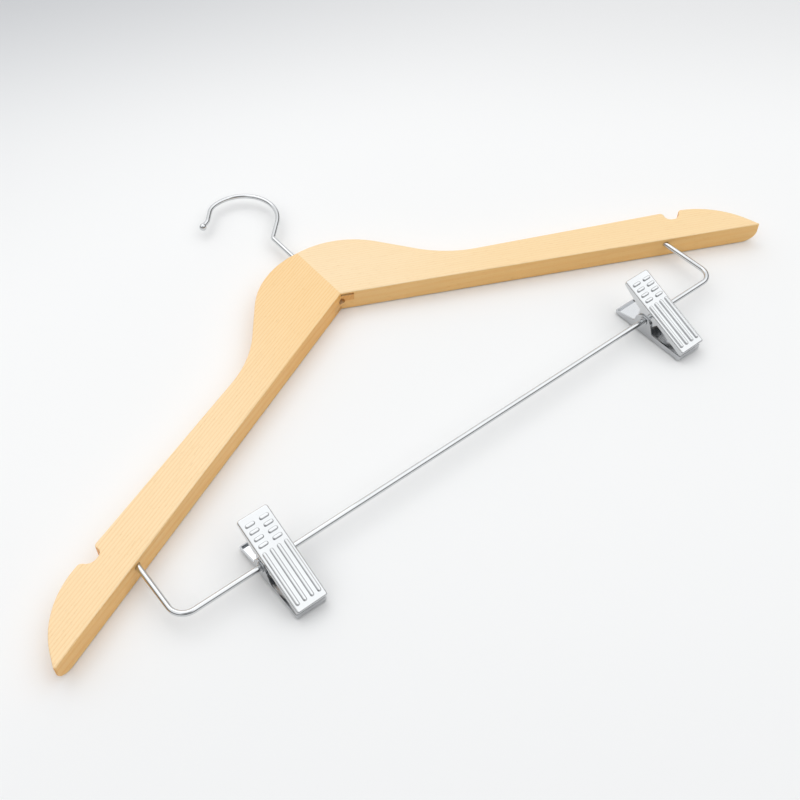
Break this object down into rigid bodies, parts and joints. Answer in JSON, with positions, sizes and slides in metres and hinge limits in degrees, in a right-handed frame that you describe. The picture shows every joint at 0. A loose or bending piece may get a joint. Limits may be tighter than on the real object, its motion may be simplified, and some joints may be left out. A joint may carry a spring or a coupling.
{
  "type": "skirt hanger",
  "caption": "Wooden skirt hanger with a swivelling wire hook, strap notches, and a metal trouser bar that carries sliding sprung clips.",
  "frame": {"origin": "on the flat back face of the wood, on the seam of the two arms, 20 mm above the inner corner", "axes": "+X across the hanger to the right arm, +Y up towards the hook, +Z out of the front face"},
  "size_m": [0.4436, 0.256, 0.0252],
  "materials": {
    "wood": "clear satin lacquer on pale beech",
    "plated_wire": "bright plated wire",
    "plated_sheet": "bright plated sheet",
    "steel": "plain drawn steel"
  },
  "bodies": {
    "frame": {"left_arm": "wood", "right_arm": "wood", "trouser_bar": "plated_wire", "hook_washer": "steel"},
    "hook": {"hook": "plated_wire"},
    "left_runner": {"left_pivot_tube": "steel"},
    "left_clip": {"left_back_plate": "plated_sheet", "left_spring": "steel"},
    "left_jaw": {"left_front_plate": "plated_sheet"},
    "right_runner": {"right_pivot_tube": "steel"},
    "right_clip": {"right_back_plate": "plated_sheet", "right_spring": "steel"},
    "right_jaw": {"right_front_plate": "plated_sheet"}
  },
  "joints": [
    {"name": "hook_swivel", "type": "hinge", "parent": "frame", "child": "hook", "pos_m": [0, 0, 0.006], "axis": [0, 1, 0], "continuous": true},
    {"name": "left_slide", "type": "slide", "parent": "frame", "child": "left_runner", "axis": [1, 0, 0], "range_m": [-0.0315, 0.107]},
    {"name": "left_swing", "type": "hinge", "parent": "left_runner", "child": "left_clip", "pos_m": [-0.12, -0.1342, 0.009], "axis": [1, 0, 0], "continuous": true},
    {"name": "left_jaw", "type": "hinge", "parent": "left_clip", "child": "left_jaw", "pos_m": [-0.12, -0.1342, 0.009], "axis": [-1, 0, 0], "range_deg": [0, 25], "stiffness_Nm_per_rad": 0.1, "springref_deg": -45.84, "deforming": ["left_spring"]},
    {"name": "right_slide", "type": "slide", "parent": "frame", "child": "right_runner", "axis": [1, 0, 0], "range_m": [-0.11, 0.0285]},
    {"name": "right_swing", "type": "hinge", "parent": "right_runner", "child": "right_clip", "pos_m": [0.123, -0.1342, 0.009], "axis": [1, 0, 0], "continuous": true},
    {"name": "right_jaw", "type": "hinge", "parent": "right_clip", "child": "right_jaw", "pos_m": [0.123, -0.1342, 0.009], "axis": [-1, 0, 0], "range_deg": [0, 25], "stiffness_Nm_per_rad": 0.1, "springref_deg": -45.84, "deforming": ["right_spring"]}
  ]
}
